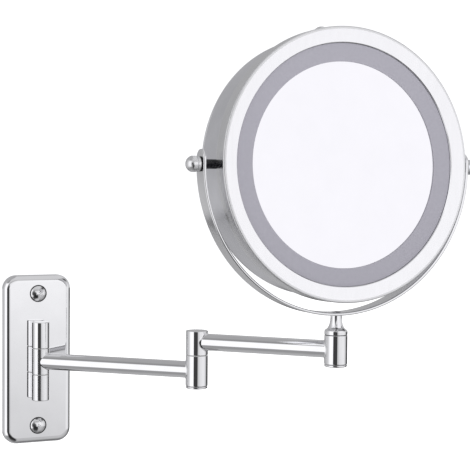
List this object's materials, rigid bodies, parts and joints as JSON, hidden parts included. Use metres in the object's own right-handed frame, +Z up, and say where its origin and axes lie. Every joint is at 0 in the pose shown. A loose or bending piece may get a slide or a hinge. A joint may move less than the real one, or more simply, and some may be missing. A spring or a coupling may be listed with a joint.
{
  "type": "extendable wall mirror",
  "caption": "Wall-mounted round mirror with a light ring, tilting in a half-ring yoke on a folding double arm with a flat wall plate.",
  "frame": {"origin": "centre of the wall plate's back face, on the wall", "axes": "+Y into the wall, +Z up, +X to the right seen from the front; the mirror stands out towards -Y"},
  "size_m": [0.3275, 0.2306, 0.328],
  "materials": {
    "chrome": "polished chrome plating",
    "satin_ring": "bright, finely satin ring face",
    "frosted": "frosted translucent light ring",
    "mirror": "silvered glass",
    "steel": "plain steel",
    "black_gloss": "glossy black",
    "nylon": "natural nylon",
    "white_plastic": "matt white moulding",
    "black_plastic": "matt black moulding",
    "brass": "turned brass",
    "board": "white solder mask",
    "cell": "wrapped cell",
    "black_rubber": "dark friction washer",
    "wire": "insulated lead"
  },
  "bodies": {
    "wall_bracket": {"wall_plate": "chrome", "backing_plate": "steel", "wall_screws": "chrome", "upper_knuckle": "chrome", "lower_knuckle": "chrome", "bracket_screws": "steel", "shoulder_pin": "steel", "shoulder_washers": "nylon"},
    "arm_1": {"arm_1_knuckle": "chrome", "arm_1_tube": "chrome", "elbow_lower_barrel": "chrome", "elbow_washer": "nylon", "elbow_cap": "chrome"},
    "arm_2": {"elbow_upper_barrel": "chrome", "elbow_pin": "steel", "elbow_spring_washer": "steel", "elbow_nut": "steel", "arm_2_tube": "chrome", "end_barrel": "chrome", "swivel_washer": "black_plastic", "end_cap": "chrome"},
    "yoke": {"swivel_stem": "chrome", "yoke_band": "chrome", "stem_screw": "steel", "swivel_spring_washer": "steel", "swivel_nut": "steel"},
    "head": {"drum": "chrome", "front_ring": "satin_ring", "diffuser_ring": "frosted", "front_mirror": "mirror", "mirror_carrier": "white_plastic", "light_tray": "white_plastic", "led_board": "board", "leds": "white_plastic", "chassis": "black_plastic", "chassis_screws": "steel", "battery_holder": "black_plastic", "batteries": "cell", "battery_contacts": "steel", "switch_board": "board", "switch_body": "black_plastic", "button_collar": "chrome", "pivot_inserts": "brass", "pivot_spacers": "black_gloss", "pivot_washers": "black_rubber", "left_pivot_knob": "chrome", "right_pivot_knob": "chrome", "lead_wires": "wire"},
    "rear_cover": {"rear_bezel": "chrome", "rear_mirror": "mirror"},
    "power_button": {"power_button": "chrome"}
  },
  "joints": [
    {"name": "shoulder", "type": "hinge", "parent": "wall_bracket", "child": "arm_1", "pos_m": [0, -0.017, 0], "axis": [0, 0, 1], "range_deg": [-133.5, 36.5]},
    {"name": "elbow", "type": "hinge", "parent": "arm_1", "child": "arm_2", "pos_m": [0.09961, -0.10513, 0.012], "axis": [0, 0, 1], "range_deg": [-127.5, 132.5]},
    {"name": "swivel", "type": "hinge", "parent": "arm_2", "child": "yoke", "pos_m": [0.17946, -0.18224, 0.033], "axis": [0, 0, 1], "continuous": true},
    {"name": "head_tilt", "type": "hinge", "parent": "yoke", "child": "head", "pos_m": [0.17946, -0.18224, 0.1575], "axis": [0.9997, 0.0262, 0], "continuous": true},
    {"name": "power_button_press", "type": "slide", "parent": "head", "child": "power_button", "axis": [0.0776, -0.0328, -0.9964], "range_m": [0, 0.0012], "stiffness_N_per_m": 600, "springref_m": -0.001},
    {"name": "rear_cover_twist", "type": "hinge", "parent": "head", "child": "rear_cover", "pos_m": [0.17883, -0.15826, 0.15666], "axis": [0.0262, -0.999, 0.0349], "range_deg": [0, 24]}
  ]
}
